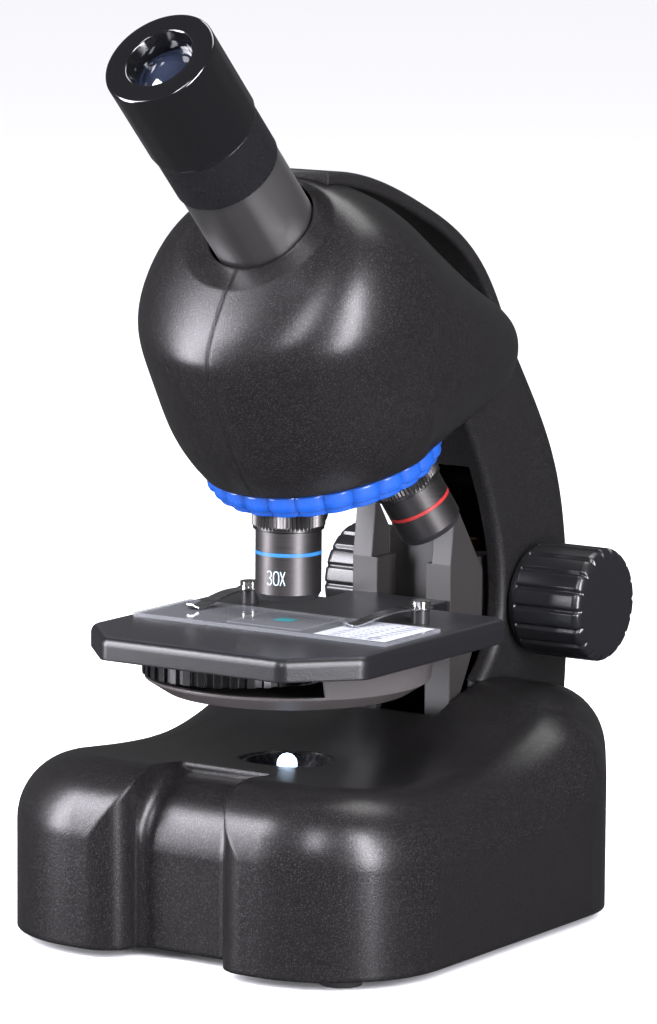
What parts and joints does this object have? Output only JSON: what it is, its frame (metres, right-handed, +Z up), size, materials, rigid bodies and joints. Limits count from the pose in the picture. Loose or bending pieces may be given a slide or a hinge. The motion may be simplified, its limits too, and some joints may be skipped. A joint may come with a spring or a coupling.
{
  "type": "student microscope",
  "caption": "Compact student microscope: tilted eyepiece tube, domed head with carry strap, lobed turret with objectives, stage with clips and slide, lit base.",
  "frame": {"origin": "middle of the footprint's bounding box, on the table", "axes": "+Z up, -Y towards the user, X along the specimen slide"},
  "size_m": [0.12, 0.1794, 0.2331],
  "materials": {
    "satin_shell": "satin charcoal plastic with fine speckle",
    "dark_plastic": "matt black plastic",
    "gloss_black": "gloss black",
    "tube_grey": "satin grey anodised",
    "turret_blue": "satin royal blue plastic",
    "gunmetal": "brushed gunmetal",
    "black_metal": "satin black paint",
    "steel": "plain steel",
    "chrome": "polished chrome",
    "brass": "plain brass",
    "rubber": "black rubber",
    "grey_plastic": "warm grey plastic",
    "glass": "clear glass",
    "led_glow": "clear LED dome, lit blue-white",
    "label": "white paper label",
    "filter": "coloured clear film",
    "cell": "printed metal can"
  },
  "bodies": {
    "stand": {"arm_left_shell": "satin_shell", "arm_right_shell": "satin_shell", "base_plate": "dark_plastic", "base_screws": "steel", "base_shell": "satin_shell", "batteries": "cell", "battery_contacts": "chrome", "battery_cover": "dark_plastic", "battery_tray": "dark_plastic", "case_screws": "steel", "detent_spring": "steel", "drawtube": "tube_grey", "guide_rails": "dark_plastic", "head_floor": "dark_plastic", "head_left_shell": "satin_shell", "head_right_shell": "satin_shell", "lamp_reflector": "grey_plastic", "lamp_ring": "grey_plastic", "led": "led_glow", "led_board": "grey_plastic", "pivot_screw": "steel", "prism": "glass", "prism_holder": "dark_plastic", "rubber_feet": "rubber", "shaft_bushes": "brass", "switch_body": "dark_plastic", "tube_band": "dark_plastic"},
    "rocker": {"switch_rocker": "dark_plastic"},
    "eyepiece": {"eyepiece_cap": "gloss_black", "eyepiece_barrel": "black_metal", "eye_lens": "glass", "field_lens": "glass"},
    "turret": {"turret_ring": "turret_blue", "turret_plate": "black_metal", "objective_rims": "black_metal", "objective_lenses": "glass", "objective_low_collar": "gunmetal", "objective_low_barrel": "gunmetal", "objective_mid_collar": "gunmetal", "objective_mid_barrel": "gunmetal", "objective_high_collar": "gunmetal", "objective_high_barrel": "gunmetal"},
    "stage": {"stage_carriage": "dark_plastic", "rack": "brass", "stage_plate": "black_metal", "wheel_housing": "grey_plastic", "wheel_screw": "steel", "clip_screws": "chrome"},
    "wheel": {"filter_wheel": "dark_plastic", "colour_filters": "filter"},
    "clip_l": {"clip_left": "steel"},
    "clip_r": {"clip_right": "steel"},
    "slide": {"specimen_slide": "glass", "cover_glass": "glass", "slide_label": "label"},
    "focus": {"knob_left": "dark_plastic", "knob_right": "dark_plastic", "focus_shaft": "steel", "pinion": "brass"}
  },
  "joints": [
    {"name": "stage_lift", "type": "slide", "parent": "stand", "child": "stage", "axis": [0, 0, 1], "range_m": [-0.01, 0.0035]},
    {"name": "focus_turn", "type": "hinge", "parent": "stand", "child": "focus", "pos_m": [0, 0.06689, 0.075], "axis": [1, 0, 0], "range_deg": [-43, 121]},
    {"name": "turret_spin", "type": "hinge", "parent": "stand", "child": "turret", "pos_m": [0, -0.00641, 0.1159], "axis": [0, -0.309, 0.9511], "continuous": true},
    {"name": "wheel_spin", "type": "hinge", "parent": "stage", "child": "wheel", "pos_m": [-0.0093, -0.03182, 0.0694], "axis": [0, 0, 1], "continuous": true},
    {"name": "clip_left_swivel", "type": "hinge", "parent": "stage", "child": "clip_l", "pos_m": [-0.026, -0.00212, 0.0823], "axis": [0, 0, 1], "range_deg": [-45, 25]},
    {"name": "clip_right_swivel", "type": "hinge", "parent": "stage", "child": "clip_r", "pos_m": [0.026, -0.00212, 0.0823], "axis": [0, 0, 1], "range_deg": [-8, 50]},
    {"name": "slide_pull", "type": "slide", "parent": "stage", "child": "slide", "axis": [0, -1, 0], "range_m": [0, 0.03]},
    {"name": "eyepiece_pull", "type": "slide", "parent": "stand", "child": "eyepiece", "axis": [0, -0.7096, 0.7046], "range_m": [0, 0.03]},
    {"name": "switch_rock", "type": "hinge", "parent": "stand", "child": "rocker", "pos_m": [0, 0.08739, 0.022], "axis": [1, 0, 0], "range_deg": [0, 16]}
  ],
  "couplings": [
    {"joint": "focus_turn", "follows": "stage_lift", "rad_per_m": -208.33}
  ]
}
